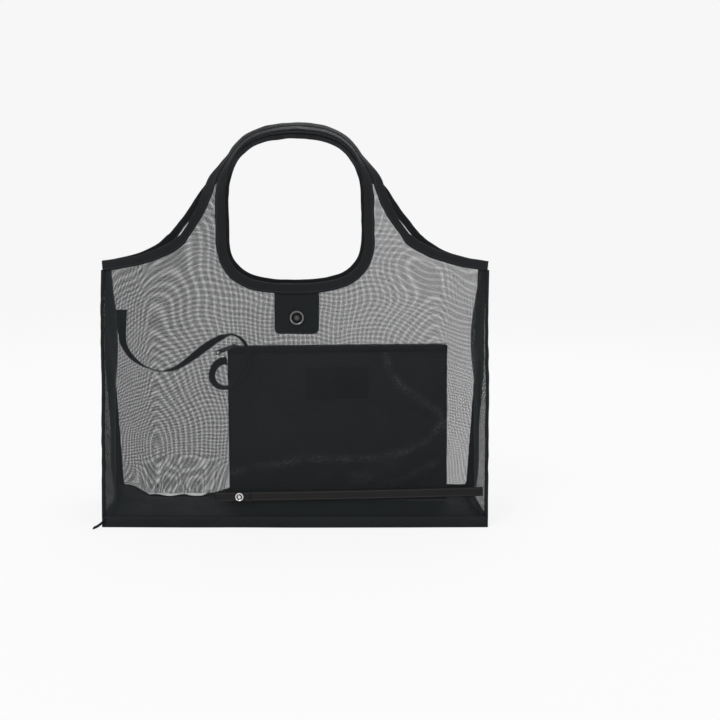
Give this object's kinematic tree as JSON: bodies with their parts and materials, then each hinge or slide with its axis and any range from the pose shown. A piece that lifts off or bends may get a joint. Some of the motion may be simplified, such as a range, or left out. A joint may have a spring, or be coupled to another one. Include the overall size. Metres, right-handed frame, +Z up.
{
  "type": "beach bag",
  "caption": "Sheer mesh tote with a solid base, taped seams, cut-in handles, a magnetic snap, a low snap strap, and a zip pouch on a leash inside.",
  "frame": {"origin": "on the floor, under the middle of the bag", "axes": "+Z up, the front with the low strap faces -Y, +X to the right as seen from the front"},
  "size_m": [0.4482, 0.147, 0.4551],
  "materials": {
    "mesh_cloth": "open knitted mesh, see-through",
    "binding_tape": "tightly woven satin tape",
    "base_cloth": "plain woven, matt",
    "tab_cloth": "plain woven, matt",
    "strap_webbing": "twill webbing",
    "ripstop": "thin coated ripstop, creased",
    "zip_tape": "woven zip tape",
    "zip_coil": "moulded coil",
    "label_rubber": "smooth blank patch",
    "dark_metal": "gunmetal plate, glossy",
    "silver_metal": "nickel plate"
  },
  "bodies": {
    "bag": {"base_panel": "base_cloth", "front_mesh_panel": "mesh_cloth", "back_mesh_panel": "mesh_cloth", "left_gusset": "mesh_cloth", "right_gusset": "mesh_cloth", "front_left_seam_tape": "binding_tape", "front_right_seam_tape": "binding_tape", "back_left_seam_tape": "binding_tape", "back_right_seam_tape": "binding_tape", "front_base_tape": "binding_tape", "back_base_tape": "binding_tape", "left_base_tape": "binding_tape", "right_base_tape": "binding_tape", "left_gusset_top_tape": "binding_tape", "right_gusset_top_tape": "binding_tape", "front_left_shoulder_tape": "binding_tape", "front_right_shoulder_tape": "binding_tape", "back_left_shoulder_tape": "binding_tape", "back_right_shoulder_tape": "binding_tape", "front_rim_tape": "binding_tape", "back_rim_tape": "binding_tape", "front_snap_tab": "tab_cloth", "back_snap_tab": "tab_cloth", "front_snap_cap": "dark_metal", "front_snap_socket": "dark_metal", "back_snap_stud": "dark_metal", "back_snap_cap": "dark_metal", "strap_snap_stud": "silver_metal", "leash_tab": "binding_tape", "leash": "binding_tape"},
    "front_handle": {"front_handle_mesh": "mesh_cloth", "front_handle_inner_tape": "binding_tape", "front_handle_outer_tape": "binding_tape"},
    "back_handle": {"back_handle_mesh": "mesh_cloth", "back_handle_inner_tape": "binding_tape", "back_handle_outer_tape": "binding_tape"},
    "strap": {"lower_strap": "strap_webbing", "lower_strap_fold": "strap_webbing", "strap_snap_cap": "silver_metal", "strap_snap_socket": "silver_metal"},
    "pouch": {"pouch_front": "ripstop", "pouch_back": "ripstop", "zip_tape_front": "zip_tape", "zip_tape_back": "zip_tape", "zip_coil_front": "zip_coil", "zip_coil_back": "zip_coil", "zip_stop_left": "dark_metal", "zip_stop_right": "dark_metal", "pouch_label": "label_rubber"},
    "slider": {"zip_slider": "dark_metal", "slider_pin": "dark_metal"},
    "puller": {"zip_puller": "dark_metal"}
  },
  "joints": [
    {"name": "front_handle_fold", "type": "hinge", "parent": "bag", "child": "front_handle", "pos_m": [0, -0.04897, 0.33007], "axis": [1, 0, 0], "range_deg": [-6, 150]},
    {"name": "back_handle_fold", "type": "hinge", "parent": "bag", "child": "back_handle", "pos_m": [0, 0.04897, 0.33007], "axis": [-1, 0, 0], "range_deg": [-6, 150]},
    {"name": "strap_unsnap", "type": "hinge", "parent": "bag", "child": "strap", "pos_m": [0.2135, -0.06332, 0.0398], "axis": [0, 0.1728, 0.9849], "range_deg": [0, 70]},
    {"name": "pouch_lift", "type": "slide", "parent": "bag", "child": "pouch", "axis": [0, -0.1908, 0.9816], "range_m": [0, 0.09], "deforming": ["leash"]},
    {"name": "zip_slide", "type": "slide", "parent": "pouch", "child": "slider", "axis": [0.9999, 0, 0.0105], "range_m": [0, 0.245]},
    {"name": "puller_swing", "type": "hinge", "parent": "slider", "child": "puller", "pos_m": [-0.07351, 0.03612, 0.19602], "axis": [0.0005, 0.9986, -0.0523], "range_deg": [0, 180]}
  ]
}
